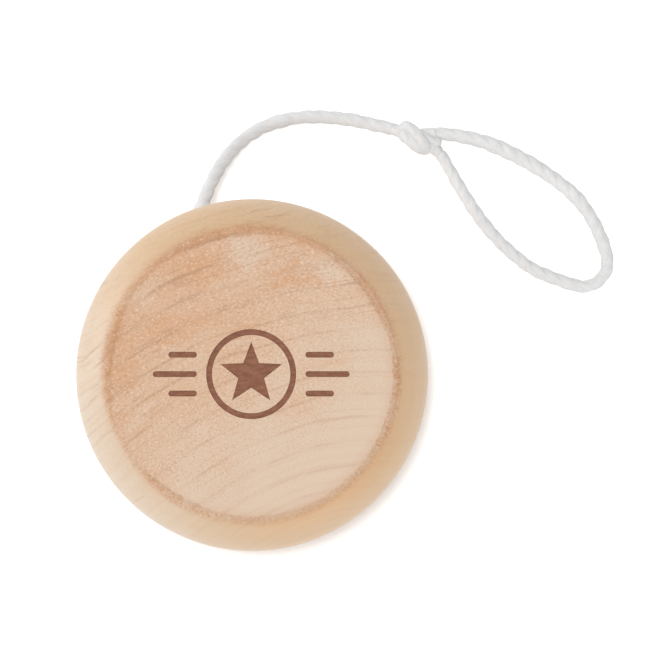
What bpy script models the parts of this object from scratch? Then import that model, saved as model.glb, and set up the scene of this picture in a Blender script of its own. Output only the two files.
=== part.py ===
"""Wooden yo-yo with a cotton string, lying flat on its rear face.

Units are metres and +Z is up, along the axle. The origin is the centre of the rear face, which
stands on the surface at z = 0. Two turned wooden halves are glued onto one dowel. The string
loops round the dowel, is wound up in the gap between the halves, leaves the gap over the rear
half's lip, drops to the surface and ends in a slip knot and a finger loop.
"""

import math

import bmesh
import bpy
from mathutils import Matrix, Vector

# Driving dimensions
DIAMETER = 0.055
THICKNESS = 0.030
STRING_GAP = 0.0044
CORD_DIAMETER = 0.0020
AXLE_DIAMETER = 0.0080
CLEARANCE = 0.0003

# Turned halves, worked out from the driving dimensions
OUTER_RADIUS = DIAMETER / 2
MID_PLANE = THICKNESS / 2
HALF_THICKNESS = (THICKNESS - STRING_GAP) / 2
FACE_RADIUS = 0.0224
FACE_EDGE_WIDTH = 0.0004
FACE_EDGE_DROP = 0.0002
RIM_DROP = 0.0068
RIM_START_ANGLE = 60
RIM_LAND = 0.0014
LIP_WIDTH = 0.0030
HOLE_RADIUS = AXLE_DIAMETER / 2 + CLEARANCE
HOLE_DEPTH = 0.0090
HOLE_CHAMFER = 0.0005
TURN_STEPS = 72

# Dowel
AXLE_END_GAP = 0.0005
AXLE_LENGTH = STRING_GAP + 2 * (HOLE_DEPTH - AXLE_END_GAP)
AXLE_CHAMFER = 0.0006

# String
CORD_RADIUS = CORD_DIAMETER / 2
AXLE_LOOP_RADIUS = AXLE_DIAMETER / 2 + CLEARANCE + CORD_RADIUS
WINDING_INNER = AXLE_LOOP_RADIUS + CORD_RADIUS + CLEARANCE
WINDING_OUTER = 0.0160
WINDING_WIDTH = STRING_GAP - 2 * CLEARANCE
WINDING_ROUNDING = 0.0008
TUBE_STEP = 0.0040
SMOOTH_STEPS = 12

# Route of the string from the winding to the knot, and of the finger loop, in metres.
# It leaves the winding on a tangent, bends over the rear half's lip and falls to the surface.
LEAD_ROUTE = [
    (-0.01730, -0.00182, 0.01500),
    (-0.01738, 0.00091, 0.01500),
    (-0.01702, 0.00362, 0.01500),
    (-0.01624, 0.00624, 0.01500),
    (-0.01427, 0.01137, 0.01500),
    (-0.01229, 0.01651, 0.01490),
    (-0.01050, 0.02117, 0.01460),
    (-0.00924, 0.02444, 0.01395),
    (-0.00810, 0.02734, 0.01225),
    (-0.00694, 0.03072, 0.00970),
    (-0.00502, 0.03457, 0.00620),
    (-0.00240, 0.03792, 0.00320),
    (0.00104, 0.04043, 0.00160),
    (0.00523, 0.04187, 0.00112),
    (0.00985, 0.04232, 0.00105),
    (0.01536, 0.04184, 0.00105),
    (0.01971, 0.04092, 0.00105),
    (0.02257, 0.04029, 0.00115),
]
LOOP_ROUTE = [
    (0.02905, 0.03975, 0.00110),
    (0.03348, 0.03913, 0.00105),
    (0.03838, 0.03780, 0.00105),
    (0.04460, 0.03475, 0.00105),
    (0.04940, 0.03155, 0.00105),
    (0.05245, 0.02880, 0.00105),
    (0.05470, 0.02560, 0.00105),
    (0.05630, 0.02217, 0.00105),
    (0.05712, 0.01936, 0.00105),
    (0.05697, 0.01742, 0.00105),
    (0.05590, 0.01580, 0.00105),
    (0.05421, 0.01488, 0.00105),
    (0.05236, 0.01484, 0.00105),
    (0.04957, 0.01568, 0.00105),
    (0.04575, 0.01720, 0.00105),
    (0.04330, 0.01880, 0.00105),
    (0.03970, 0.02197, 0.00105),
    (0.03642, 0.02589, 0.00105),
    (0.03348, 0.03041, 0.00105),
    (0.03149, 0.03388, 0.00105),
    (0.02985, 0.03670, 0.00110),
]
KNOT_CENTRE = (0.02640, 0.03890, 0.00185)
KNOT_HALF_SIZES = (0.0034, 0.0022, 0.0018)
KNOT_TURN = math.radians(-50)

# Colours
WOOD = (0.80, 0.62, 0.45)
DOWEL_WOOD = (0.76, 0.60, 0.42)
COTTON = (0.84, 0.83, 0.80)


def clear_scene():
    for obj in list(bpy.data.objects):
        bpy.data.objects.remove(obj, do_unlink=True)


def make_material(name, colour, roughness):
    material = bpy.data.materials.new(name)
    material.use_nodes = True
    shader = material.node_tree.nodes["Principled BSDF"]
    shader.inputs["Base Color"].default_value = (*colour, 1.0)
    shader.inputs["Roughness"].default_value = roughness
    shader.inputs["Metallic"].default_value = 0.0
    return material


def add_part(name, data, material, parent=None):
    """Link a mesh or curve as a named part of the yo-yo."""
    obj = bpy.data.objects.new(name, data)
    data.materials.append(material)
    bpy.data.collections["yo_yo"].objects.link(obj)
    obj.parent = parent
    return obj


def add_empty(name, location):
    empty = bpy.data.objects.new(name, None)
    empty.location = location
    empty.empty_display_size = DIAMETER / 4
    bpy.data.collections["yo_yo"].objects.link(empty)
    return empty


def arc(centre, radii, start, end, count):
    """Points of an elliptical arc in the (radius, height) plane, angles in degrees."""
    points = []
    for i in range(count + 1):
        angle = math.radians(start + (end - start) * i / count)
        points.append((centre[0] + radii[0] * math.cos(angle), centre[1] + radii[1] * math.sin(angle)))
    return points


def half_profile():
    """Section of one half, from the face's centre down its outer side to the hole's floor.

    Heights are measured from the middle plane of the string gap.
    """
    inner_face = STRING_GAP / 2
    outer_face = inner_face + HALF_THICKNESS
    widest = outer_face - RIM_DROP
    rim_width = OUTER_RADIUS - FACE_RADIUS - FACE_EDGE_WIDTH
    rim_across = rim_width / (1 - math.cos(math.radians(RIM_START_ANGLE)))
    rim_up = (RIM_DROP - FACE_EDGE_DROP) / math.sin(math.radians(RIM_START_ANGLE))
    lip_top = widest - RIM_LAND
    lip_drop = lip_top - inner_face
    rim = arc((OUTER_RADIUS - rim_across, widest), (rim_across, rim_up), RIM_START_ANGLE, 0, 8)
    lip = arc((OUTER_RADIUS - LIP_WIDTH, lip_top), (LIP_WIDTH, lip_drop), 0, -90, 7)
    hole_floor = inner_face + HOLE_DEPTH
    hole = [
        (HOLE_RADIUS + HOLE_CHAMFER, inner_face),
        (HOLE_RADIUS, inner_face + HOLE_CHAMFER),
        (HOLE_RADIUS, hole_floor),
        (0.0, hole_floor),
    ]
    return [(0.0, outer_face), (FACE_RADIUS, outer_face)] + rim + lip + hole


def winding_profile():
    """Closed section of the wound string, outer side first and running down."""
    top = WINDING_WIDTH / 2
    rounding = WINDING_ROUNDING
    outer = WINDING_OUTER - rounding
    points = arc((outer, top - rounding), (rounding, rounding), 90, 0, 3)
    points += arc((outer, rounding - top), (rounding, rounding), 0, -90, 3)
    points += [(WINDING_INNER, -top), (WINDING_INNER, top)]
    return points


def turned_mesh(name, profile, closed=False):
    """Mesh that holds a profile at +X, ready for the Screw modifier."""
    mesh = bpy.data.meshes.new(name)
    edges = [(i, i + 1) for i in range(len(profile) - 1)]
    if closed:
        edges.append((len(profile) - 1, 0))
    mesh.from_pydata([(radius, 0.0, height) for radius, height in profile], edges, [])
    return mesh


def add_screw(obj):
    screw = obj.modifiers.new("turned", "SCREW")
    screw.axis = "Z"
    screw.angle = math.tau
    screw.steps = TURN_STEPS
    screw.render_steps = TURN_STEPS
    screw.use_merge_vertices = True
    screw.merge_threshold = 0.00001
    screw.use_smooth_shade = True


def smooth_route(route):
    """Dense points of a Catmull-Rom curve through the route's own points."""
    points = [Vector(p) for p in route]
    points = [2 * points[0] - points[1]] + points + [2 * points[-1] - points[-2]]
    dense = []
    for a, b, c, d in zip(points, points[1:], points[2:], points[3:]):
        for i in range(SMOOTH_STEPS):
            t = i / SMOOTH_STEPS
            spread = (2 * a - 5 * b + 4 * c - d) * t ** 2 + (3 * b - 3 * c + d - a) * t ** 3
            dense.append(0.5 * (2 * b + (c - a) * t + spread))
    dense.append(points[-2])
    return dense


def even_points(dense):
    """Points an even TUBE_STEP or so apart along a dense line, its two ends kept."""
    lengths = [0.0]
    for a, b in zip(dense, dense[1:]):
        lengths.append(lengths[-1] + (b - a).length)
    count = round(lengths[-1] / TUBE_STEP)
    points = []
    index = 0
    for i in range(count + 1):
        wanted = lengths[-1] * i / count
        while index < len(dense) - 2 and lengths[index + 1] < wanted:
            index += 1
        share = (wanted - lengths[index]) / (lengths[index + 1] - lengths[index])
        points.append(dense[index].lerp(dense[index + 1], min(share, 1.0)))
    return points


def cord_curve(name, route):
    """Round tube with capped ends along a route."""
    curve = bpy.data.curves.new(name, "CURVE")
    curve.dimensions = "3D"
    curve.bevel_depth = CORD_RADIUS
    curve.bevel_resolution = 2
    curve.use_fill_caps = True
    points = even_points(smooth_route(route))
    spline = curve.splines.new("POLY")
    spline.points.add(len(points) - 1)
    for spline_point, point in zip(spline.points, points):
        spline_point.co = (*point, 1.0)
    return curve


def make_halves(wood, yoyo):
    """The two halves share one turned mesh; the rear one is turned over."""
    mesh = turned_mesh("turned_half", half_profile())
    front = add_part("front_half", mesh, wood, yoyo)
    rear = bpy.data.objects.new("rear_half", mesh)
    bpy.data.collections["yo_yo"].objects.link(rear)
    rear.parent = yoyo
    rear.rotation_euler = (math.pi, 0.0, 0.0)
    add_screw(front)
    add_screw(rear)


def make_axle(wood, yoyo):
    """Plain dowel with chamfered ends, hidden in the two blind holes."""
    mesh = bpy.data.meshes.new("axle_dowel")
    shape = bmesh.new()
    radius = AXLE_DIAMETER / 2
    bmesh.ops.create_cone(
        shape, cap_ends=True, segments=40, radius1=radius, radius2=radius, depth=AXLE_LENGTH
    )
    shape.to_mesh(mesh)
    shape.free()
    axle = add_part("axle_dowel", mesh, wood, yoyo)
    bevel = axle.modifiers.new("chamfer", "BEVEL")
    bevel.width = AXLE_CHAMFER
    bevel.segments = 1
    bevel.limit_method = "ANGLE"
    mesh.shade_smooth()
    mesh.set_sharp_from_angle(angle=math.radians(35))


def make_axle_loop(cotton, winding):
    """The loop of string that sits round the dowel and slips on it."""
    bpy.ops.mesh.primitive_torus_add(
        major_radius=AXLE_LOOP_RADIUS, minor_radius=CORD_RADIUS, major_segments=40, minor_segments=10
    )
    torus = bpy.context.object
    mesh = torus.data
    bpy.data.objects.remove(torus)
    mesh.shade_smooth()
    add_part("axle_loop", mesh, cotton, winding)


def make_winding(cotton, winding):
    mesh = turned_mesh("string_winding", winding_profile(), closed=True)
    add_screw(add_part("string_winding", mesh, cotton, winding))


def make_knot(cotton):
    """Plain body of the slip knot, the size of the tied cord."""
    mesh = bpy.data.meshes.new("finger_loop_knot")
    shape = bmesh.new()
    bmesh.ops.create_uvsphere(shape, u_segments=20, v_segments=12, radius=1.0)
    sizes = Matrix.Diagonal((*KNOT_HALF_SIZES, 1.0))
    turn = Matrix.Rotation(KNOT_TURN, 4, "Z")
    bmesh.ops.transform(shape, matrix=turn @ sizes, verts=shape.verts)
    shape.to_mesh(mesh)
    shape.free()
    mesh.shade_smooth()
    knot = add_part("finger_loop_knot", mesh, cotton)
    knot.location = KNOT_CENTRE


def main():
    clear_scene()
    bpy.context.scene.collection.children.link(bpy.data.collections.new("yo_yo"))
    wood = make_material("turned_wood", WOOD, 0.45)
    dowel_wood = make_material("dowel_wood", DOWEL_WOOD, 0.60)
    cotton = make_material("cotton_string", COTTON, 0.90)
    yoyo = add_empty("yoyo_axis", (0.0, 0.0, MID_PLANE))
    winding = add_empty("winding_axis", (0.0, 0.0, MID_PLANE))
    make_halves(wood, yoyo)
    make_axle(dowel_wood, yoyo)
    make_axle_loop(cotton, winding)
    make_winding(cotton, winding)
    add_part("string_lead", cord_curve("string_lead", LEAD_ROUTE), cotton)
    make_knot(cotton)
    add_part("finger_loop", cord_curve("finger_loop", LOOP_ROUTE), cotton)


main()
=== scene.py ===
"""Looks of the wooden yo-yo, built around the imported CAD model.

Everything is in metres in the model's own frame: +Z up along the axle, the rear face on z = 0.
"""

import math

import bmesh
import bpy
import numpy as np
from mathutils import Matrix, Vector, noise


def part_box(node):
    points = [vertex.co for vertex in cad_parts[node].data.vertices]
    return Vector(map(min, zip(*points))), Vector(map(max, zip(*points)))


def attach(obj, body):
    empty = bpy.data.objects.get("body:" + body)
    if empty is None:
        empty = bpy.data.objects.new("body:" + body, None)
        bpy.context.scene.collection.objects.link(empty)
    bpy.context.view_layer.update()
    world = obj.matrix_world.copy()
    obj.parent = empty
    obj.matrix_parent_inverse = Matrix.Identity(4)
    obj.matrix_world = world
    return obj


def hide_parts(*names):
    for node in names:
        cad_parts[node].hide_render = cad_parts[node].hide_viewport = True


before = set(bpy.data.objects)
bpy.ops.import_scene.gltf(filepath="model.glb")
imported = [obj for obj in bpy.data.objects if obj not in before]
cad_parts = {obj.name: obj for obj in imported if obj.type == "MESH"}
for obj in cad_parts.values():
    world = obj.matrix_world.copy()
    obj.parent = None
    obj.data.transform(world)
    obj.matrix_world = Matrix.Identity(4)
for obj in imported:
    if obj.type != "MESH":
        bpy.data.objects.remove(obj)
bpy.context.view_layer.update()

MM_PER_METRE = 1000.0

# Camera: almost straight above, from a little on the near side and tilted towards the far side
CAMERA_PLACE = (0.01233, -0.01059, 0.62174)
CAMERA_LEAN = math.radians(1.67)
CAMERA_LENS = 208.3
SENSOR_WIDTH = 36.0

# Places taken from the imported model
half_low, half_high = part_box("front_half")
winding_low, winding_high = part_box("string_winding")
_, dowel_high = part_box("axle_dowel")
OUTER_RADIUS = half_high.x
THICKNESS = half_high.z
MID_PLANE = THICKNESS / 2
STRING_GAP = 2 * (half_low.z - MID_PLANE)
AXLE_RADIUS = dowel_high.x
WINDING_OUTER = winding_high.x
WINDING_WIDTH = winding_high.z - winding_low.z

# Section of a half, the same as the CAD half's
FACE_RADIUS = 0.0224
FACE_EDGE_WIDTH = 0.0004
FACE_EDGE_DROP = 0.0002
RIM_DROP = 0.0068
RIM_START_ANGLE = math.radians(60)
RIM_LAND = 0.0014
LIP_WIDTH = 0.0030
HOLE_DEPTH = 0.0090
HOLE_CHAMFER = 0.0005
CLEARANCE = 0.0003

# String: in one lay a strand goes once round, the groove is a share of three round strands' relief,
# a tip is rounded over a share of the radius, and the mesh has a ring of points at every step
CORD_DIAMETER = 0.0020
CORD_RADIUS = CORD_DIAMETER / 2
CORD_LAY = 0.0076
CORD_GROOVE = 0.39
CORD_STEP = 0.00022
CORD_SIDES = 27
CORD_TIP = 0.6
CORD_WOBBLE = 0.10
WOBBLES_PER_METRE = 330

# Wound string: its turns lie in two columns, and each moves over to its place in a share of a turn
WOUND_RADIUS = 0.96 * CORD_RADIUS
WOUND_STEP = 0.00036
WOUND_SIDES = 18
WINDING_LAYERS = 5
LAYER_STEP = 0.0019
POINTS_PER_TURN = 72
SHIFT_SHARE = 0.17

# Lead: its first stretch, tucked under the winding's outer turns, has an angle in degrees and a
# radius at each end
LEAD_RADIUS = 1.08 * CORD_RADIUS
TUCK_ANGLES = (212, 186)
TUCK_RADII = (0.0170, 0.0174)
TUCK_POINTS = 4

# Finger loop: its thickness from end to end, as a share of the plain string's
LOOP_SWELL = (
    (1.00, 1.12, 1.22, 1.22, 1.19, 1.16, 1.12, 1.08)
    + (1.06, 1.05, 1.05, 1.05, 1.05, 1.05, 1.03, 1.00)
)

# Route of the string from the winding to the knot, and of the finger loop, as in the CAD model
LEAD_ROUTE = [
    (-0.01730, -0.00182, 0.01500),
    (-0.01738, 0.00091, 0.01500),
    (-0.01702, 0.00362, 0.01500),
    (-0.01624, 0.00624, 0.01500),
    (-0.01427, 0.01137, 0.01500),
    (-0.01229, 0.01651, 0.01490),
    (-0.01050, 0.02117, 0.01460),
    (-0.00924, 0.02444, 0.01395),
    (-0.00810, 0.02734, 0.01225),
    (-0.00694, 0.03072, 0.00970),
    (-0.00502, 0.03457, 0.00620),
    (-0.00240, 0.03792, 0.00320),
    (0.00104, 0.04043, 0.00160),
    (0.00523, 0.04187, 0.00112),
    (0.00985, 0.04232, 0.00105),
    (0.01536, 0.04184, 0.00105),
    (0.01971, 0.04092, 0.00105),
    (0.02257, 0.04029, 0.00115),
]
LOOP_ROUTE = [
    (0.02905, 0.03975, 0.00110),
    (0.03348, 0.03913, 0.00105),
    (0.03838, 0.03780, 0.00105),
    (0.04460, 0.03475, 0.00105),
    (0.04940, 0.03155, 0.00105),
    (0.05245, 0.02880, 0.00105),
    (0.05470, 0.02560, 0.00105),
    (0.05630, 0.02217, 0.00105),
    (0.05712, 0.01936, 0.00105),
    (0.05697, 0.01742, 0.00105),
    (0.05590, 0.01580, 0.00105),
    (0.05421, 0.01488, 0.00105),
    (0.05236, 0.01484, 0.00105),
    (0.04957, 0.01568, 0.00105),
    (0.04575, 0.01720, 0.00105),
    (0.04330, 0.01880, 0.00105),
    (0.03970, 0.02197, 0.00105),
    (0.03642, 0.02589, 0.00105),
    (0.03348, 0.03041, 0.00105),
    (0.03149, 0.03388, 0.00105),
    (0.02985, 0.03670, 0.00110),
]
# Inside the knot: a strand to each leg of the finger loop, two turns drawn tight over them, and
# the strand that fills the fork between the legs
KNOT_ROUTES = [
    [
        (0.02170, 0.04050, 0.00112),
        (0.02330, 0.04000, 0.00122),
        (0.02540, 0.03950, 0.00135),
        (0.02740, 0.03945, 0.00130),
        (0.02960, 0.03968, 0.00110),
    ],
    [
        (0.02350, 0.03960, 0.00125),
        (0.02500, 0.03870, 0.00132),
        (0.02680, 0.03800, 0.00135),
        (0.02850, 0.03745, 0.00122),
        (0.03020, 0.03630, 0.00110),
    ],
    [
        (0.02445, 0.03925, 0.00110),
        (0.02400, 0.04005, 0.00190),
        (0.02455, 0.04055, 0.00270),
        (0.02560, 0.03990, 0.00312),
        (0.02660, 0.03870, 0.00308),
        (0.02735, 0.03760, 0.00260),
        (0.02745, 0.03700, 0.00170),
        (0.02690, 0.03720, 0.00110),
    ],
    [
        (0.02480, 0.03960, 0.00135),
        (0.02418, 0.03938, 0.00228),
        (0.02470, 0.03872, 0.00280),
        (0.02568, 0.03785, 0.00285),
        (0.02655, 0.03718, 0.00232),
        (0.02705, 0.03725, 0.00130),
    ],
    [
        (0.02560, 0.03935, 0.00170),
        (0.02700, 0.03895, 0.00175),
        (0.02840, 0.03850, 0.00150),
        (0.02920, 0.03815, 0.00130),
        (0.03010, 0.03772, 0.00110),
    ],
]


# ---------------------------------------------------------------- camera


def make_camera():
    data = bpy.data.cameras.new("camera")
    data.lens = CAMERA_LENS
    data.sensor_width = SENSOR_WIDTH
    data.clip_start = 0.01
    camera = bpy.data.objects.new("camera", data)
    camera.location = CAMERA_PLACE
    camera.rotation_euler = (CAMERA_LEAN, 0.0, 0.0)
    bpy.context.scene.collection.objects.link(camera)
    bpy.context.scene.camera = camera


# ---------------------------------------------------------------- string


def smooth_line(route, per_span=16):
    """Dense points of a Catmull-Rom curve through the route's points."""
    p = np.array(route, float)
    p = np.vstack([2 * p[0] - p[1], p, 2 * p[-1] - p[-2]])
    t = (np.arange(per_span) / per_span)[:, None]
    spans = []
    for a, b, c, d in zip(p, p[1:], p[2:], p[3:]):
        spread = (2 * a - 5 * b + 4 * c - d) * t**2 + (3 * b - 3 * c + d - a) * t**3
        spans.append(0.5 * (2 * b + (c - a) * t + spread))
    spans.append(p[-2:-1])
    return np.vstack(spans)


def line_length(points):
    return float(np.linalg.norm(np.diff(points, axis=0), axis=1).sum())


def resample(points, step):
    """The same line with points an even step or so apart."""
    along = np.concatenate([[0.0], np.cumsum(np.linalg.norm(np.diff(points, axis=0), axis=1))])
    count = max(2, round(along[-1] / step))
    wanted = np.linspace(0.0, along[-1], count + 1)
    return np.stack([np.interp(wanted, along, points[:, k]) for k in range(3)], axis=1)


def cross_frames(points):
    """Unit vectors across a line that turn as little as they can along it."""
    tangents = np.gradient(points, axis=0)
    tangents /= np.linalg.norm(tangents, axis=1)[:, None]
    side = np.cross(tangents[0], (0.0, 0.0, 1.0))
    side /= np.linalg.norm(side)
    sides = [side]
    for tangent in tangents[1:]:
        side = side - tangent * side.dot(tangent)
        side = side / np.linalg.norm(side)
        sides.append(side)
    sides = np.array(sides)
    return sides, np.cross(tangents, sides)


def strand_outline(angles, strands=3):
    """Outer edge of soft touching strands, as a share of the cord's radius at each angle."""
    pitch = math.tau / strands
    offset = (angles + pitch / 2) % pitch - pitch / 2
    centre = math.sin(pitch / 2) / (1 + math.sin(pitch / 2))
    radius = 1 - centre
    inside = np.maximum(radius**2 - (centre * np.sin(offset)) ** 2, 0.0)
    firm = centre * np.cos(offset) + np.sqrt(inside)
    return 1 + CORD_GROOVE * (firm - 1)


def cord_rings(points, along, radius, sides, seed, number, swell):
    """The rings of points of one cord, with its swell and round tips, and none of it below z = 0."""
    across, up = cross_frames(points)
    turn = math.tau * along / CORD_LAY + seed + number
    angles = np.arange(sides) * math.tau / sides
    tip = np.clip(np.minimum(along, along[-1] - along) / (CORD_TIP * radius), 0.0, 1.0)
    end_round = np.sqrt(np.clip(1 - (1 - tip) ** 2, 0.02, 1.0))
    fullness = np.interp(along / along[-1], np.linspace(0.0, 1.0, len(swell)), swell)
    section = strand_outline(angles) * radius
    rings = []
    for i, point in enumerate(points):
        spot = Vector((along[i] * WOBBLES_PER_METRE + 7 * number, seed, 2.0))
        wobble = 1 + CORD_WOBBLE * noise.noise(spot)
        ring = section * end_round[i] * wobble * fullness[i]
        sideways = np.outer(ring * np.cos(angles + turn[i]), across[i])
        upwards = np.outer(ring * np.sin(angles + turn[i]), up[i])
        places = point + sideways + upwards
        places[:, 2] = np.maximum(places[:, 2], 0.0)
        rings.append(places)
    return rings


def twisted_mesh(name, lines, radius=CORD_RADIUS, step=CORD_STEP, sides=CORD_SIDES, seed=0.0, swell=(1,)):
    """One mesh of laid three-strand cords, each along its own line."""
    vertices, faces, strand_uvs = [], [], []
    for number, line in enumerate(lines):
        points = resample(np.array(line), step)
        count = len(points)
        along = np.linspace(0.0, line_length(points), count)
        start = len(vertices)
        for ring in cord_rings(points, along, radius, sides, seed, number, swell):
            vertices.extend(map(tuple, ring))
        for i in range(count - 1):
            for j in range(sides):
                k = (j + 1) % sides
                low, high = start + i * sides, start + (i + 1) * sides
                faces.append((low + j, low + k, high + k, high + j))
                u0, u1 = along[i], along[i + 1]
                v0, v1 = j / sides, (j + 1) / sides
                strand_uvs.append(((u0, v0), (u0, v1), (u1, v1), (u1, v0)))
        first = tuple(range(start + sides - 1, start - 1, -1))
        last = tuple(range(start + (count - 1) * sides, start + count * sides))
        for cap, u in ((first, 0.0), (last, along[-1])):
            faces.append(cap)
            strand_uvs.append(tuple((u, 0.5) for _ in cap))
    mesh = bpy.data.meshes.new(name)
    mesh.from_pydata(vertices, [], faces)
    uv_layer = mesh.uv_layers.new(name="strand")
    flat = np.array([uv for corners in strand_uvs for uv in corners], np.float32)
    flat[:, 0] /= CORD_LAY
    uv_layer.uv.foreach_set("vector", flat.ravel())
    mesh.shade_smooth()
    piece = bpy.data.objects.new(name, mesh)
    bpy.context.scene.collection.objects.link(piece)
    return piece


def winding_line():
    """The loop round the dowel, then the wound turns in two columns, layer on layer, clockwise."""
    loop_radius = AXLE_RADIUS + CORD_RADIUS + CLEARANCE
    outer = WINDING_OUTER - CORD_RADIUS
    inner = outer - (WINDING_LAYERS - 1) * LAYER_STEP
    column = (WINDING_WIDTH - CORD_DIAMETER) / 2
    turns = [(loop_radius, 0.0)]
    for layer in range(WINDING_LAYERS):
        radius = inner + (outer - inner) * layer / (WINDING_LAYERS - 1)
        turns += [(radius, -column), (radius, column)]
    points = []
    for i in range(POINTS_PER_TURN * len(turns) + 1):
        turn = i / POINTS_PER_TURN
        here = min(int(turn), len(turns) - 1)
        before = turns[max(here - 1, 0)]
        share = min((turn - here) / SHIFT_SHARE, 1.0)
        ease = share * share * (3 - 2 * share)
        radius = before[0] + (turns[here][0] - before[0]) * ease
        height = before[1] + (turns[here][1] - before[1]) * ease
        angle = -math.tau * turn
        points.append((radius * math.cos(angle), radius * math.sin(angle), MID_PLANE + height))
    return np.array(points)


def tucked_points():
    """Points that bring the lead out from between the wound turns up to its route's start."""
    points = []
    for i in range(TUCK_POINTS):
        share = i / TUCK_POINTS
        angle = math.radians(TUCK_ANGLES[0] + (TUCK_ANGLES[1] - TUCK_ANGLES[0]) * share)
        radius = TUCK_RADII[0] + (TUCK_RADII[1] - TUCK_RADII[0]) * share
        points.append((radius * math.cos(angle), radius * math.sin(angle), MID_PLANE))
    return points


def make_wound_string(cotton):
    wound = winding_line()
    winding = twisted_mesh("wound_string", [wound], WOUND_RADIUS, WOUND_STEP, WOUND_SIDES, seed=0.4)
    winding.data.materials.append(cotton)
    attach(winding, "winding")
    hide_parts("string_winding", "axle_loop")


def make_lead_and_knot(cotton):
    lead_line = smooth_line(tucked_points() + LEAD_ROUTE)
    lead = twisted_mesh("string_lead_cord", [lead_line], LEAD_RADIUS, seed=1.1)
    lead.data.materials.append(cotton)
    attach(lead, "lead")
    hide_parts("string_lead")

    knot = twisted_mesh("knot", [smooth_line(route) for route in KNOT_ROUTES], seed=2.3)
    knot.data.materials.append(cotton)
    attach(knot, "lead")
    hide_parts("finger_loop_knot")


def make_finger_loop(cotton):
    loop_line = smooth_line(LOOP_ROUTE)
    loop = twisted_mesh("finger_loop_cord", [loop_line], seed=0.2, swell=LOOP_SWELL)
    loop.data.materials.append(cotton)
    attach(loop, "lead")
    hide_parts("finger_loop")


# ---------------------------------------------------------------- turned halves

FACE_SEGMENTS = 540
PLAIN_FACE_RADIUS = 0.0196
INNER_FACE_RADII = (0.0215, 0.018, 0.012)
RIM_STEPS = 34
LIP_STEPS = 20
SHARP_ANGLE = math.radians(40)

# The torn ring is pitted below the face, over a band of radii and no further down the rim than this
TORN_DEPTH = 0.00011
TORN_BAND = (0.0214, 0.0231)
TORN_STEP = 0.00014
TORN_REACH_DOWN = 0.0005


def arc(centre, radii, start, end, count):
    angles = np.linspace(start, end, count)
    return [(centre[0] + radii[0] * math.cos(a), centre[1] + radii[1] * math.sin(a)) for a in angles]


def half_section():
    """Fine section of one half, from its flat face outwards and round to the hole floor's middle."""
    inner_face = STRING_GAP / 2
    outer_face = MID_PLANE
    widest = outer_face - RIM_DROP
    rim_width = OUTER_RADIUS - FACE_RADIUS - FACE_EDGE_WIDTH
    rim_across = rim_width / (1 - math.cos(RIM_START_ANGLE))
    rim_up = (RIM_DROP - FACE_EDGE_DROP) / math.sin(RIM_START_ANGLE)
    lip_top = widest - RIM_LAND
    lip_centre = (OUTER_RADIUS - LIP_WIDTH, lip_top)
    hole_radius = AXLE_RADIUS + CLEARANCE
    hole_floor = inner_face + HOLE_DEPTH
    section = [(r, outer_face) for r in np.linspace(PLAIN_FACE_RADIUS, TORN_BAND[0], 4)[:-1]]
    section += [(r, outer_face) for r in np.arange(TORN_BAND[0], FACE_RADIUS, TORN_STEP)]
    for s in (0, 0.33, 0.67):
        section.append((FACE_RADIUS + FACE_EDGE_WIDTH * s, outer_face - FACE_EDGE_DROP * s * s))
    rim_centre = (OUTER_RADIUS - rim_across, widest)
    section += arc(rim_centre, (rim_across, rim_up), RIM_START_ANGLE, 0.0, RIM_STEPS)
    section += arc(lip_centre, (LIP_WIDTH, lip_top - inner_face), 0, -math.pi / 2, LIP_STEPS)
    section += [(r, inner_face) for r in INNER_FACE_RADII]
    section += [
        (hole_radius + HOLE_CHAMFER, inner_face),
        (hole_radius, inner_face + HOLE_CHAMFER),
        (hole_radius, hole_floor),
        (0.0, hole_floor),
    ]
    return section


def torn_drop(radius, height, angle, seed):
    """How far the torn end grain lies below the smooth section at a place."""
    if height <= MID_PLANE - TORN_REACH_DOWN or radius <= TORN_BAND[0]:
        return 0.0
    low, high = TORN_BAND
    band = max(0.0, 1 - abs((radius - (low + high) / 2) / ((high - low) / 2)) ** 2)
    around = Vector((math.cos(angle), math.sin(angle), 0.0))
    patches = 0.55 + 0.9 * noise.noise(around * 3.1 + Vector((seed, 0, 0)))
    place = around * radius * MM_PER_METRE
    pits = noise.noise(place * 2.6 + Vector((0, seed, 0))) + 0.6 * noise.noise(place * 6.0)
    return TORN_DEPTH * (band * max(0.0, min(1.0, patches)) * max(0.0, 0.35 + pits))


def turned_half(name, upper, seed):
    """One half, turned from the fine section, with its face up or down."""
    *outline, hole_middle = half_section()
    sign = 1.0 if upper else -1.0
    vertices, faces, rings = [], [], []
    for radius, height in outline:
        rings.append(range(len(vertices), len(vertices) + FACE_SEGMENTS))
        for angle in np.arange(FACE_SEGMENTS) * math.tau / FACE_SEGMENTS:
            level = MID_PLANE + sign * (height - torn_drop(radius, height, angle, seed))
            vertices.append((radius * math.cos(angle), radius * math.sin(angle), level))
    vertices.append((0.0, 0.0, MID_PLANE + sign * hole_middle[1]))
    for a, b in zip(rings, rings[1:]):
        for j in range(FACE_SEGMENTS):
            k = (j + 1) % FACE_SEGMENTS
            faces.append((a[j], b[j], b[k], a[k]))
    for j in range(FACE_SEGMENTS):
        faces.append((rings[-1][j], len(vertices) - 1, rings[-1][(j + 1) % FACE_SEGMENTS]))
    faces.append(tuple(rings[0]))
    if not upper:
        faces = [face[::-1] for face in faces]
    mesh = bpy.data.meshes.new(name)
    mesh.from_pydata(vertices, [], faces)
    mesh.shade_smooth()
    mesh.set_sharp_from_angle(angle=SHARP_ANGLE)
    half = bpy.data.objects.new(name, mesh)
    bpy.context.scene.collection.objects.link(half)
    return half


# ---------------------------------------------------------------- engraved ornament

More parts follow.
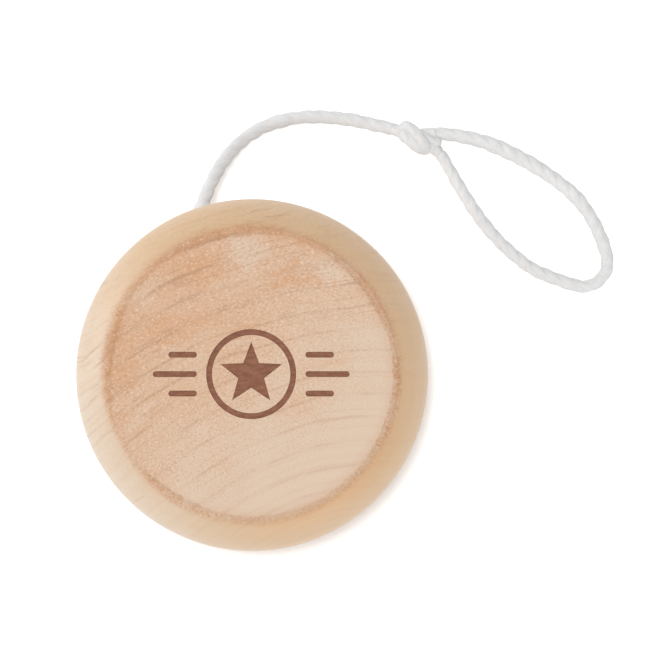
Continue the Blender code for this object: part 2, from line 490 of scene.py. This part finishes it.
ENGRAVING_DEPTH = 0.00014
STAR_POINTS = 5
STAR_OUTER = 0.0050
STAR_INNER = 0.0021
RING_MIDDLE = 0.0065
LINE_WIDTH = 0.0009
BAR_START = 0.0084
BAR_LENGTHS = (0.0044, 0.0068, 0.0044)
BAR_SPACING = 0.0030
CIRCLE_STEPS = 96
ROUND_END_STEPS = 12
CUTTER_HALF_HEIGHT = 0.0005
WELD_DISTANCE = 0.000001


def circle_outline(radius):
    angles = [math.tau * i / CIRCLE_STEPS for i in range(CIRCLE_STEPS)]
    return [(radius * math.cos(angle), radius * math.sin(angle)) for angle in angles]


def star_outline():
    points = []
    for i in range(2 * STAR_POINTS):
        radius = STAR_OUTER if i % 2 == 0 else STAR_INNER
        angle = math.pi / 2 + math.pi * i / STAR_POINTS
        points.append((radius * math.cos(angle), radius * math.sin(angle)))
    return points


def bar_outline(x, y, length, side):
    """A bar with round ends, from x outwards on one side."""
    radius = LINE_WIDTH / 2
    points = []
    for centre, start in ((x + length - radius, -90), (x + radius, 90)):
        for i in range(ROUND_END_STEPS + 1):
            angle = math.radians(start + 180 * i / ROUND_END_STEPS)
            points.append((side * (centre + radius * math.cos(angle)), y + radius * math.sin(angle)))
    return points


def ornament_cutter():
    """Star in a ring with three bars on each side, as one flat extruded tool."""
    curve = bpy.data.curves.new("ornament", "CURVE")
    curve.dimensions = "2D"
    curve.fill_mode = "BOTH"
    curve.extrude = CUTTER_HALF_HEIGHT
    outlines = [circle_outline(RING_MIDDLE + LINE_WIDTH / 2), circle_outline(RING_MIDDLE - LINE_WIDTH / 2)]
    outlines.append(star_outline())
    for side in (-1, 1):
        for row, length in enumerate(BAR_LENGTHS):
            outlines.append(bar_outline(BAR_START, (row - 1) * BAR_SPACING, length, side))
    for outline in outlines:
        spline = curve.splines.new("POLY")
        spline.points.add(len(outline) - 1)
        spline.use_cyclic_u = True
        for point, (x, y) in zip(spline.points, outline):
            point.co = (x, y, 0.0, 1.0)
    tool = bpy.data.objects.new("ornament", curve)
    bpy.context.scene.collection.objects.link(tool)
    bpy.context.view_layer.update()
    mesh = bpy.data.meshes.new_from_object(tool.evaluated_get(bpy.context.evaluated_depsgraph_get()))
    bpy.data.objects.remove(tool)
    raised = (0, 0, THICKNESS - ENGRAVING_DEPTH + curve.extrude)
    shape = bmesh.new()
    shape.from_mesh(mesh)
    bmesh.ops.remove_doubles(shape, verts=shape.verts, dist=WELD_DISTANCE)
    bmesh.ops.translate(shape, verts=shape.verts, vec=raised)
    bmesh.ops.recalc_face_normals(shape, faces=shape.faces)
    shape.to_mesh(mesh)
    shape.free()
    cutter = bpy.data.objects.new("ornament_cutter", mesh)
    bpy.context.scene.collection.objects.link(cutter)
    return cutter


def engrave(half, burnt):
    """Cut the ornament into a half's face, with the burnt material on what is cut."""
    cutter = ornament_cutter()
    cutter.data.materials.clear()
    cutter.data.materials.append(burnt)
    cut = half.modifiers.new("engraving", "BOOLEAN")
    cut.operation = "DIFFERENCE"
    cut.solver = "EXACT"
    cut.material_mode = "TRANSFER"
    cut.object = cutter
    bpy.context.view_layer.update()
    result = bpy.data.meshes.new_from_object(half.evaluated_get(bpy.context.evaluated_depsgraph_get()))
    half.modifiers.clear()
    half.data = result
    bpy.data.objects.remove(cutter)
    result.shade_smooth()
    result.set_sharp_from_angle(angle=SHARP_ANGLE)


# ---------------------------------------------------------------- materials


class Shader:
    """Short calls that add linked nodes to one material."""

    def __init__(self, name):
        self.material = bpy.data.materials.new(name)
        self.material.use_nodes = True
        self.tree = self.material.node_tree
        self.surface = self.tree.nodes["Principled BSDF"]

    def put(self, socket, value):
        if isinstance(value, bpy.types.NodeSocket):
            self.tree.links.new(value, socket)
        elif value is not None:
            socket.default_value = value

    def node(self, kind, inputs=(), **settings):
        node = self.tree.nodes.new(kind)
        for key, value in settings.items():
            setattr(node, key, value)
        for key, value in dict(inputs).items():
            self.put(node.inputs[key], value)
        return node

    def math(self, operation, a, b=None, c=None, clamp=False):
        node = self.node("ShaderNodeMath", {0: a, 1: b, 2: c}, operation=operation, use_clamp=clamp)
        return node.outputs[0]

    def product(self, first, *others):
        """All the values multiplied together, from left to right."""
        for other in others:
            first = self.math("MULTIPLY", first, other)
        return first

    def linear(self, value, slope, start):
        """The value times the slope, plus the start."""
        return self.math("MULTIPLY_ADD", value, slope, start)

    def vector(self, operation, a, b=None, output="Vector"):
        return self.node("ShaderNodeVectorMath", {0: a, 1: b}, operation=operation).outputs[output]

    def length(self, vector):
        return self.vector("LENGTH", vector, output="Value")

    def scaled(self, a, scale):
        node = self.node("ShaderNodeVectorMath", {0: a}, operation="SCALE")
        self.put(node.inputs["Scale"], scale)
        return node.outputs["Vector"]

    def parts(self, vector):
        return self.node("ShaderNodeSeparateXYZ", {0: vector}).outputs

    def combine(self, x, y, z):
        return self.node("ShaderNodeCombineXYZ", {0: x, 1: y, 2: z}).outputs[0]

    def noise(self, vector, scale, detail=2.0, roughness=0.5, output="Fac"):
        inputs = {"Vector": vector, "Scale": scale, "Detail": detail, "Roughness": roughness}
        return self.node("ShaderNodeTexNoise", inputs).outputs[output]

    def wander(self, vector, scale, detail, roughness, reach):
        """A vector that wanders about zero, by half the reach or less each way."""
        colour = self.noise(vector, scale, detail, roughness, "Color")
        return self.scaled(self.vector("SUBTRACT", colour, (0.5, 0.5, 0.5)), reach)

    def ease(self, value, low, high, to_low=0.0, to_high=1.0):
        """Smooth step from to_low, where the value is low, to to_high, where it is high."""
        inputs = {0: value, 1: low, 2: high, 3: to_low, 4: to_high}
        node = self.node("ShaderNodeMapRange", inputs, interpolation_type="SMOOTHSTEP", clamp=True)
        return node.outputs[0]

    def mix(self, share, a, b):
        node = self.node("ShaderNodeMix", data_type="RGBA", clamp_factor=True)
        self.put(node.inputs[0], share)
        self.put(node.inputs[6], a if isinstance(a, bpy.types.NodeSocket) else (*a, 1.0))
        self.put(node.inputs[7], b if isinstance(b, bpy.types.NodeSocket) else (*b, 1.0))
        return node.outputs[2]

    def object_mm(self):
        """Place on the piece in millimetres."""
        place = self.node("ShaderNodeTexCoord").outputs["Object"]
        return self.scaled(place, MM_PER_METRE)

    def bump(self, height, distance, strength):
        inputs = {"Height": height, "Distance": distance, "Strength": strength}
        return self.node("ShaderNodeBump", inputs).outputs["Normal"]

    def set_values(self, values):
        """Values that are the same all over, on the shader's own sockets."""
        for name, value in values.items():
            self.surface.inputs[name].default_value = value

    def finish(self, tone, normal):
        self.put(self.surface.inputs["Base Color"], tone)
        self.put(self.surface.inputs["Normal"], normal)
        return self.material


# Wood colours
WOOD_PALE = (0.615, 0.463, 0.340)
WOOD_WARM = (0.590, 0.360, 0.220)
# The rim's two tones: the pale one is painted sheen on the side towards the side light, the warm one is
# painted shade on the other side, partly the wood's own tone
RIM_PALE_SHEEN = (0.660, 0.535, 0.415)
RIM_WARM_SHADED = (0.622, 0.430, 0.262)
LATE_WOOD = (0.390, 0.208, 0.110)
LIGHT_FLECK = (0.800, 0.620, 0.470)
TORN_WOOD = (0.500, 0.240, 0.105)
ORANGE_PATCH = (0.560, 0.300, 0.150)
TORN_DARK = (0.300, 0.140, 0.065)
RIM_GLOW = (0.640, 0.345, 0.160)

# Grain, in millimetres: where each half's tree had its centre, the annual rings about it, and the
# radius at which places along them are measured
FRONT_PITH = (19.6, -55.0, 0.0)
REAR_PITH = (-48.0, 31.0, 0.0)
RING_SPACING = 3.5
RING_OFFSET = 1.2
RING_ARC_RADIUS = 58.0

# How warm a tone gets for each millimetre of x and y: on each face, and on the rims, where the pale side
# towards the side light is painted sheen and the warm other side is painted shade mixed with the wood's
# own tone
FRONT_WARM_SIDE = (-0.62, 0.78)
REAR_WARM_SIDE = (0.5, 0.4)
RIM_SHADED_SIDE = (0.93, 0.37)

# The torn edge between face and rim: its radius and its height above the middle, in millimetres
TORN_RADIUS = 22.5
TORN_HEIGHT = 14.9
# Stretches where it differs from the rest: direction and half width in degrees, how much darker
# it is, and how much further in it reaches; both may be negative
TORN_SPOTS = (
    (38, 24, 0.4, 0.5),
    (101, 26, 0.6, 0.6),
    (172, 24, 0.4, 0.6),
    (208, 17, -1.0, -0.8),
    (240, 16, 0.5, 0.4),
    (350, 32, 1.3, 0.1),
)
# Where the rim is warmest next to the torn edge: its direction in degrees, and the radius there
RIM_GLOW_ANGLE = 308
RIM_GLOW_RADIUS = 24.0

# Patches on the front face: middle and half widths, in millimetres
PALE_PATCHES = (
    (-0.6, 19.3, 3.4, 2.9),
    (13.6, 16.0, 3.4, 2.8),
)
WARM_PATCHES = (
    (6.3, 15.2, 4.4, 2.0),
    (-8.5, 15.6, 4.8, 2.8),
    (-20.0, 3.0, 2.4, 6.5),
    (-13.0, 7.0, 5.5, 2.6),
)


class Wood(Shader):
    """Pale close-grained hardwood; its places are in millimetres from the yo-yo's middle."""

    def __init__(self, name, pith, seed, warm_side):
        super().__init__(name)
        self.seed = seed
        # the place from the yo-yo's middle, and the same in another part of the noise for each seed
        self.centre = self.vector("SUBTRACT", self.object_mm(), (0.0, 0.0, MID_PLANE * MM_PER_METRE))
        self.place = self.vector("ADD", self.centre, (0.0, 0.0, seed * 37.0))
        self.x, self.y, z = self.parts(self.centre)
        self.radius = self.length(self.combine(self.x, self.y, 0.0))
        self.height = self.math("ABSOLUTE", z)
        self.on_rim = self.ease(self.radius, 22.3, 23.3)
        self.on_face = self.linear(self.on_rim, -0.75, 1.0)
        self.cloud = self.noise(self.place, 0.11, 3.0, 0.6)
        # slow changes of tone, the rim's painted sheen and painted shade from side to side, and how rough
        # the face was cut
        lean = self.towards(warm_side)
        self.warm = self.clouded(lean, 40.0, -15.0, 17.0)
        self.rim_shade_share = self.clouded(self.towards(RIM_SHADED_SIDE), 10.0, -28.0, -6.0)
        torn_side = self.clouded(lean, 30.0, -20.0, 4.0)
        self.rough_cut = self.product(self.linear(torn_side, 0.75, 0.25), self.on_face)
        # the grain, the flecks that lie along it, and the distance from the torn edge
        self.find_rings(pith)
        fibres = self.combine(
            self.distance,
            self.product(self.around, 0.65),
            self.product(self.parts(self.place)[2], 0.65),
        )
        self.flecks = self.noise(fibres, 3.4, 2.5, 0.75)
        off_edge = self.combine(
            self.math("SUBTRACT", self.radius, TORN_RADIUS),
            self.math("SUBTRACT", self.height, TORN_HEIGHT),
            0.0,
        )
        self.edge = self.length(off_edge)

    def towards(self, side):
        """How far a place lies over to a side, which is given by its x and y."""
        return self.math("ADD", self.product(self.x, side[0]), self.product(self.y, side[1]))

    def clouded(self, lean, spread, low, high):
        """Share that rises along a lean, with an edge that clouds push to and fro."""
        shift = self.linear(self.cloud, spread, -spread / 2)
        return self.ease(self.math("ADD", lean, shift), low, high)

    def find_rings(self, pith):
        """Distance from the tree's centre with natural waviness, and place among and along the rings."""
        slow = self.wander(self.centre, 0.045, 2.0, 0.5, 3.0)
        fine = self.wander(self.centre, 0.35, 2.0, 0.5, 0.45)
        bent = self.vector("ADD", self.centre, self.vector("ADD", slow, fine))
        x, y, z = self.parts(self.vector("SUBTRACT", bent, pith))
        self.distance = self.math("ADD", self.length(self.combine(x, y, 0.0)), self.product(z, 0.12))
        past_first = self.math("SUBTRACT", self.distance, RING_OFFSET)
        self.phase = self.math("DIVIDE", past_first, RING_SPACING)
        self.around = self.product(self.math("ARCTAN2", y, x), RING_ARC_RADIUS)

    def along_rings(self, across, along, offset):
        """Place for a noise that is stretched along the annual rings."""
        return self.combine(self.product(self.distance, across), self.product(self.around, along), offset)

    def plain_tone(self):
        """Slow change of tone over the face, another over the rim that is painted sheen on its lit side
        and painted shade on the other, and soft bands along the rings.
        """
        face = self.mix(self.warm, WOOD_PALE, WOOD_WARM)
        # rim: painted sheen on its lit side, painted shade on the other side
        rim = self.mix(self.rim_shade_share, RIM_PALE_SHEEN, RIM_WARM_SHADED)
        tone = self.mix(self.on_rim, face, rim)
        bands = self.noise(self.combine(self.distance, 0.0, 0.0), 0.8, 3.0, 0.6)
        return self.mix(self.ease(bands, 0.42, 0.75, 0.0, 0.30), tone, WOOD_WARM)

    def late_lines(self):
        """Share of the thin broken lines of late wood, one or two to each annual ring."""
        share = self.math("FRACT", self.phase)
        line = self.math("MAXIMUM", self.ease(share, 0.84, 0.975), self.ease(share, 0.0, 0.035, 1.0, 0.0))
        odd = self.math("FRACT", self.linear(self.phase, 1.37, 0.40))
        thin = self.product(self.ease(odd, 0.90, 0.97), self.ease(odd, 0.97, 1.0, 1.0, 0.0))
        line = self.math("MAXIMUM", line, self.product(thin, 0.7))
        breaks = self.noise(self.along_rings(0.45, 0.11, self.seed), 1.0, 4.0, 0.6)
        late = self.product(line, self.ease(breaks, 0.40, 0.60, 0.22, 1.0))
        return self.product(late, self.on_face, self.linear(self.warm, 0.38, 0.24))

    def soft_patches(self, place, patches):
        """Share of a few soft-edged patches at a place."""
        share = 0.0
        for x, y, half_width, half_height in patches:
            off = self.vector("SUBTRACT", place, (x, y, 0.0))
            off = self.vector("MULTIPLY", off, (1 / half_width, 1 / half_height, 0.0))
            share = self.math("MAXIMUM", share, self.ease(self.length(off), 1.25, 0.60))
        return share

    def patched(self, tone, pale_patches, warm_patches):
        """Orange and pale patches: loose ones along the rings, then the named ones."""
        rings = self.along_rings(0.30, 0.12, self.seed + 4.0)
        cover = self.noise(rings, 1.0, 4.0, 0.65)
        flush = self.product(self.ease(cover, 0.52, 0.72), self.product(self.warm, self.on_face))
        blanch = self.product(self.ease(cover, 0.46, 0.32), self.on_face)
        tone = self.mix(self.product(flush, 0.75), tone, ORANGE_PATCH)
        tone = self.mix(self.product(blanch, 0.55), tone, WOOD_PALE)
        wandered = self.vector("ADD", self.centre, self.wander(self.centre, 0.30, 4.0, 0.7, 9.0))
        streaked = self.ease(self.noise(rings, 4.5, 3.0, 0.7), 0.35, 0.60, 0.25, 1.0)
        warmed = self.product(self.soft_patches(wandered, warm_patches), streaked, self.on_face)
        tone = self.mix(self.product(warmed, 0.85), tone, ORANGE_PATCH)
        paled = self.product(self.soft_patches(wandered, pale_patches), self.on_face)
        return self.mix(self.product(paled, 0.75), tone, WOOD_PALE)

    def flecked(self, tone):
        """Short dark and light flecks, stronger where the cut is rough, and longer dark streaks."""
        dark = self.product(self.ease(self.flecks, 0.50, 0.30), self.rough_cut)
        light = self.product(self.ease(self.flecks, 0.54, 0.68), self.rough_cut)
        tone = self.mix(self.product(dark, 0.60), tone, LATE_WOOD)
        tone = self.mix(self.product(light, 0.52), tone, LIGHT_FLECK)
        streaks = self.ease(self.noise(self.along_rings(1.0, 0.16, 3.0), 1.1, 3.0, 0.6), 0.57, 0.72)
        return self.mix(self.product(streaks, self.warm, 0.45), tone, LATE_WOOD)

    def outwards(self, degrees):
        """How far a place lies out from the axle in a direction."""
        angle = math.radians(degrees)
        return self.towards((math.cos(angle), math.sin(angle)))

    def torn_spots(self):
        """How much darker, and how much deeper, the torn edge is than usual."""
        darker, deeper = 0.0, 0.0
        for angle, half_width, more_dark, more_deep in TORN_SPOTS:
            nearness = self.math("DIVIDE", self.outwards(angle), self.math("ADD", self.radius, 0.001))
            near = self.ease(nearness, math.cos(math.radians(half_width)), 1.0)
            darker = self.math("MULTIPLY_ADD", near, more_dark, darker)
            deeper = self.math("MULTIPLY_ADD", near, more_deep, deeper)
        return darker, deeper

    def torn_share(self, deeper):
        """Share of torn grain where the face breaks into the rim, with a ragged outline."""
        ragged = self.linear(self.noise(self.place, 1.9, 4.0, 0.8), 2.4, -1.2)
        inner = self.math("MULTIPLY_ADD", self.linear(deeper, 1.1, 0.55), ragged, self.radius)
        inner = self.math("ADD", inner, self.product(deeper, 0.65))
        fade = self.ease(self.math("MULTIPLY_ADD", ragged, 0.5, self.edge), 1.30, 0.40)
        inside = self.math("LESS_THAN", self.radius, TORN_RADIUS)
        on_top = self.product(inside, self.ease(self.height, 14.0, 14.7))
        return self.product(self.ease(inner, 21.80, 22.35), self.math("MAXIMUM", fade, on_top))

    def glow(self, tone):
        """Warm halo all round the torn edge, and the rim's warm side next to it."""
        # the halo is stronger on the rim's painted-shade side
        halo = self.product(self.ease(self.edge, 2.3, 0.3), self.linear(self.rim_shade_share, 0.13, 0.07))
        tone = self.mix(halo, tone, TORN_WOOD)
        nearness = self.math("DIVIDE", self.outwards(RIM_GLOW_ANGLE), RIM_GLOW_RADIUS)
        glow = self.product(self.ease(nearness, 0.72, 1.0), self.ease(self.edge, 4.5, 0.8))
        return self.mix(self.product(glow, self.on_rim, 0.40), tone, RIM_GLOW)

    def torn_tone(self, tone, torn, darker):
        """Brown frayed grain, with dark crumbs and light fibres in it."""
        gaps = self.ease(self.noise(self.place, 0.42, 3.0, 0.6), 0.38, 0.56, 0.38, 1.0)
        torn_here = self.product(torn, gaps)
        crumbs = self.noise(self.place, 2.9, 3.0, 0.8)
        frayed = self.ease(crumbs, 0.42, 0.58, 0.16, 1.0)
        burn = self.product(torn_here, frayed, self.ease(darker, -0.9, 1.3, 0.20, 0.95))
        tone = self.mix(burn, tone, TORN_WOOD)
        tone = self.mix(self.product(torn_here, self.ease(crumbs, 0.60, 0.70, 0.0, 0.55)), tone, TORN_DARK)
        return self.mix(self.product(torn, self.ease(crumbs, 0.40, 0.30, 0.0, 0.50)), tone, LIGHT_FLECK)

    def roughness(self, torn):
        """Dull face, satin rim, dullest torn edge."""
        satin = self.linear(self.on_rim, -0.22, 0.60)
        rough = self.math("ADD", satin, self.linear(self.flecks, 0.16, -0.08), clamp=True)
        return self.math("ADD", rough, self.product(torn, 0.15))

    def relief(self, torn, late):
        """Bump from the flecks, the late wood and the torn grain."""
        relief = self.product(self.flecks, 1.2, self.rough_cut)
        relief = self.math("SUBTRACT", relief, self.product(late, 0.7))
        rags = self.product(self.noise(self.place, 3.2, 4.0, 0.75), self.product(torn, 2.2))
        return self.bump(self.math("SUBTRACT", relief, rags), 0.00005, 0.8)


def wood_material(name, pith, seed, warm_side, pale_patches=(), warm_patches=()):
    """Flecked face, torn brown edge round it, burnished rim with painted sheen on its lit side and painted
    shade on the other.
    """
    wood = Wood(name, pith, seed, warm_side)
    late = wood.late_lines()
    darker, deeper = wood.torn_spots()
    torn = wood.torn_share(deeper)
    tone = wood.patched(wood.plain_tone(), pale_patches, warm_patches)
    tone = wood.flecked(wood.mix(late, tone, LATE_WOOD))
    tone = wood.torn_tone(wood.glow(tone), torn, darker)
    wood.put(wood.surface.inputs["Roughness"], wood.roughness(torn))
    wood.set_values({"Specular IOR Level": 0.6})
    return wood.finish(tone, wood.relief(torn, late))


SCORCH_DARK = (0.205, 0.085, 0.050)
SCORCH_LIGHT = (0.290, 0.130, 0.078)
SOOT = (0.13, 0.055, 0.035)


def burnt_material():
    """Laser-burnt floor of the engraving: brown, dull, with the grain showing through."""
    s = Shader("burnt_wood")
    place = s.object_mm()
    grain = s.noise(s.vector("MULTIPLY", place, (0.6, 1.6, 1.0)), 1.1, 4.0, 0.65)
    soot = s.noise(place, 4.5, 3.0, 0.7)
    tone = s.mix(s.ease(grain, 0.35, 0.7), SCORCH_DARK, SCORCH_LIGHT)
    tone = s.mix(s.ease(soot, 0.5, 0.75, 0.0, 0.35), tone, SOOT)
    s.set_values({"Roughness": 0.8, "Specular IOR Level": 0.25})
    return s.finish(tone, s.bump(soot, 0.00004, 0.7))


DOWEL_LIGHT = (0.60, 0.44, 0.29)
DOWEL_DARK = (0.47, 0.31, 0.18)


def dowel_material():
    """Straight grain along the dowel."""
    s = Shader("dowel_wood_grain")
    fibres = s.noise(s.vector("MULTIPLY", s.object_mm(), (2.2, 2.2, 0.12)), 1.0, 4.0, 0.6)
    tone = s.mix(s.ease(fibres, 0.35, 0.7), DOWEL_LIGHT, DOWEL_DARK)
    s.set_values({"Roughness": 0.65})
    return s.finish(tone, s.bump(fibres, 0.00006, 0.6))


COTTON_SHADE = (0.69, 0.69, 0.69)
COTTON_LIGHT = (0.80, 0.80, 0.80)
COTTON_SOILED = (0.62, 0.61, 0.595)


def cotton_material():
    """White twisted cotton: fibres run along each strand, with a soft nap."""
    s = Shader("white_cotton")
    uv = s.node("ShaderNodeUVMap", uv_map="strand").outputs["UV"]
    u, v, _ = s.parts(uv)
    slant = s.math("MULTIPLY_ADD", u, 6.0, s.product(v, 30.0))
    fibres = s.noise(s.combine(s.product(u, 3.0), slant, 0.0), 1.6, 3.0, 0.6)
    place = s.object_mm()
    mottled = s.noise(place, 0.8, 3.0, 0.6)
    nap = s.noise(place, 9.0, 2.0, 0.7)
    tone = s.mix(s.ease(fibres, 0.3, 0.7), COTTON_SHADE, COTTON_LIGHT)
    tone = s.mix(s.ease(mottled, 0.35, 0.75, 0.0, 0.22), tone, COTTON_SOILED)
    s.set_values({"Roughness": 0.95, "Specular IOR Level": 0.15})
    height = s.math("ADD", fibres, s.product(nap, 0.5))
    return s.finish(tone, s.bump(height, 0.00010, 0.8))


def make_halves():
    burnt = burnt_material()
    front = turned_half("front_half_wood", True, 1.7)
    grain = wood_material("front_wood", FRONT_PITH, 1.0, FRONT_WARM_SIDE, PALE_PATCHES, WARM_PATCHES)
    front.data.materials.append(grain)
    engrave(front, burnt)
    rear = turned_half("rear_half_wood", False, 8.3)
    rear.data.materials.append(wood_material("rear_wood", REAR_PITH, 2.0, REAR_WARM_SIDE))
    for half, node in ((front, "front_half"), (rear, "rear_half")):
        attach(half, "yoyo")
        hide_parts(node)


def finish_dowel():
    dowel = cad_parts["axle_dowel"]
    dowel.data.materials.clear()
    dowel.data.materials.append(dowel_material())


# ---------------------------------------------------------------- floor and light

FLOOR_HALF_SIDE = 3.0
LIGHT_AIM = (0.0, 0.0, 0.01)


def make_floor():
    side = FLOOR_HALF_SIDE
    corners = [(-side, -side, 0), (side, -side, 0), (side, side, 0), (-side, side, 0)]
    mesh = bpy.data.meshes.new("floor")
    mesh.from_pydata(corners, [], [(0, 1, 2, 3)])
    floor = bpy.data.objects.new("floor", mesh)
    bpy.context.scene.collection.objects.link(floor)
    s = Shader("pale_floor")
    s.set_values({"Base Color": (0.90, 0.90, 0.90, 1.0), "Roughness": 0.9, "Specular IOR Level": 0.1})
    s.set_values({"Emission Color": (1.0, 1.0, 1.0, 1.0), "Emission Strength": 0.24})
    mesh.materials.append(s.material)


def area_light(name, azimuth, elevation, distance, size, power):
    """Square soft light that looks at the yo-yo from a direction, in degrees."""
    data = bpy.data.lights.new(name, "AREA")
    data.size = size
    data.energy = power
    light = bpy.data.objects.new(name, data)
    turn, tilt = math.radians(azimuth), math.radians(elevation)
    out = Vector((math.cos(turn) * math.cos(tilt), math.sin(turn) * math.cos(tilt), math.sin(tilt)))
    light.location = Vector(LIGHT_AIM) + distance * out
    light.rotation_euler = out.to_track_quat("Z", "Y").to_euler()
    bpy.context.scene.collection.objects.link(light)


def make_lights():
    area_light("key", azimuth=135, elevation=87.2, distance=1.2, size=0.10, power=7.0)
    area_light("side", azimuth=160, elevation=22, distance=0.9, size=0.70, power=3.1)
    area_light("fill", azimuth=-70, elevation=25, distance=0.9, size=0.70, power=1.9)
    world = bpy.data.worlds.new("studio")
    bpy.context.scene.world = world
    world.use_nodes = True
    background = world.node_tree.nodes["Background"]
    background.inputs["Color"].default_value = (1.0, 1.0, 1.0, 1.0)
    background.inputs["Strength"].default_value = 0.46
    bpy.context.scene.view_settings.view_transform = "Standard"


make_camera()
cotton_string = cotton_material()
make_wound_string(cotton_string)
make_lead_and_knot(cotton_string)
make_finger_loop(cotton_string)
make_halves()
finish_dowel()
make_floor()
make_lights()
